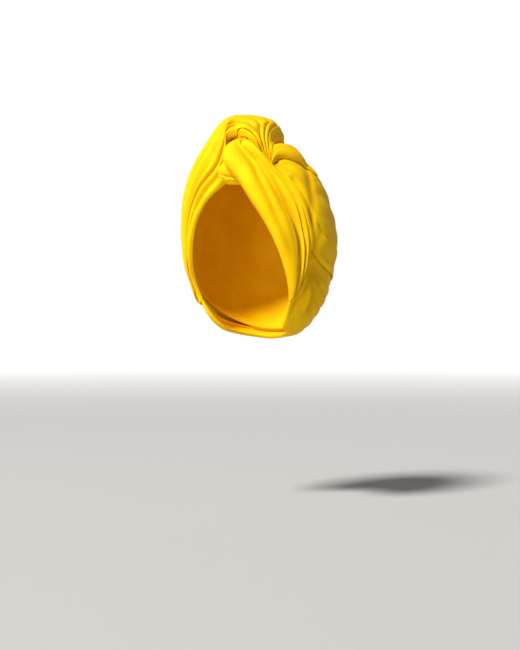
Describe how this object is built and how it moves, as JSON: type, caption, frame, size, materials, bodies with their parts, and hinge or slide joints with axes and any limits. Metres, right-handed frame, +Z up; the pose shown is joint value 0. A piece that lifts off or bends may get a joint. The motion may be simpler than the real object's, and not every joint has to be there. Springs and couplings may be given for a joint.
{
  "type": "wrapped turban head wrap",
  "caption": "Bright yellow ready-wrapped turban with a front knot and twist, a pleated side roll, a back drape and a close cap inside; it is worn on the head.",
  "frame": {"origin": "the point under the crown of the cap, straight above the middle of the head, where the top of the head touches the cloth", "axes": "+Z up, -Y to the wearer's front, +X to the wearer's left"},
  "size_m": [0.1778, 0.1971, 0.2676],
  "materials": {
    "outer_cloth": "matte yellow stretch jersey with a soft sheen",
    "inner_cloth": "matte yellow stretch jersey, the reverse side"
  },
  "bodies": {
    "root": {"crown_cap": "inner_cloth", "nape_wrap": "outer_cloth", "back_drape": "outer_cloth", "inner_knot_loop": "outer_cloth", "right_side_roll": "outer_cloth", "tuck_fold": "outer_cloth", "right_front_band": "outer_cloth", "front_knot": "outer_cloth", "left_front_wrap": "outer_cloth"}
  },
  "joints": []
}
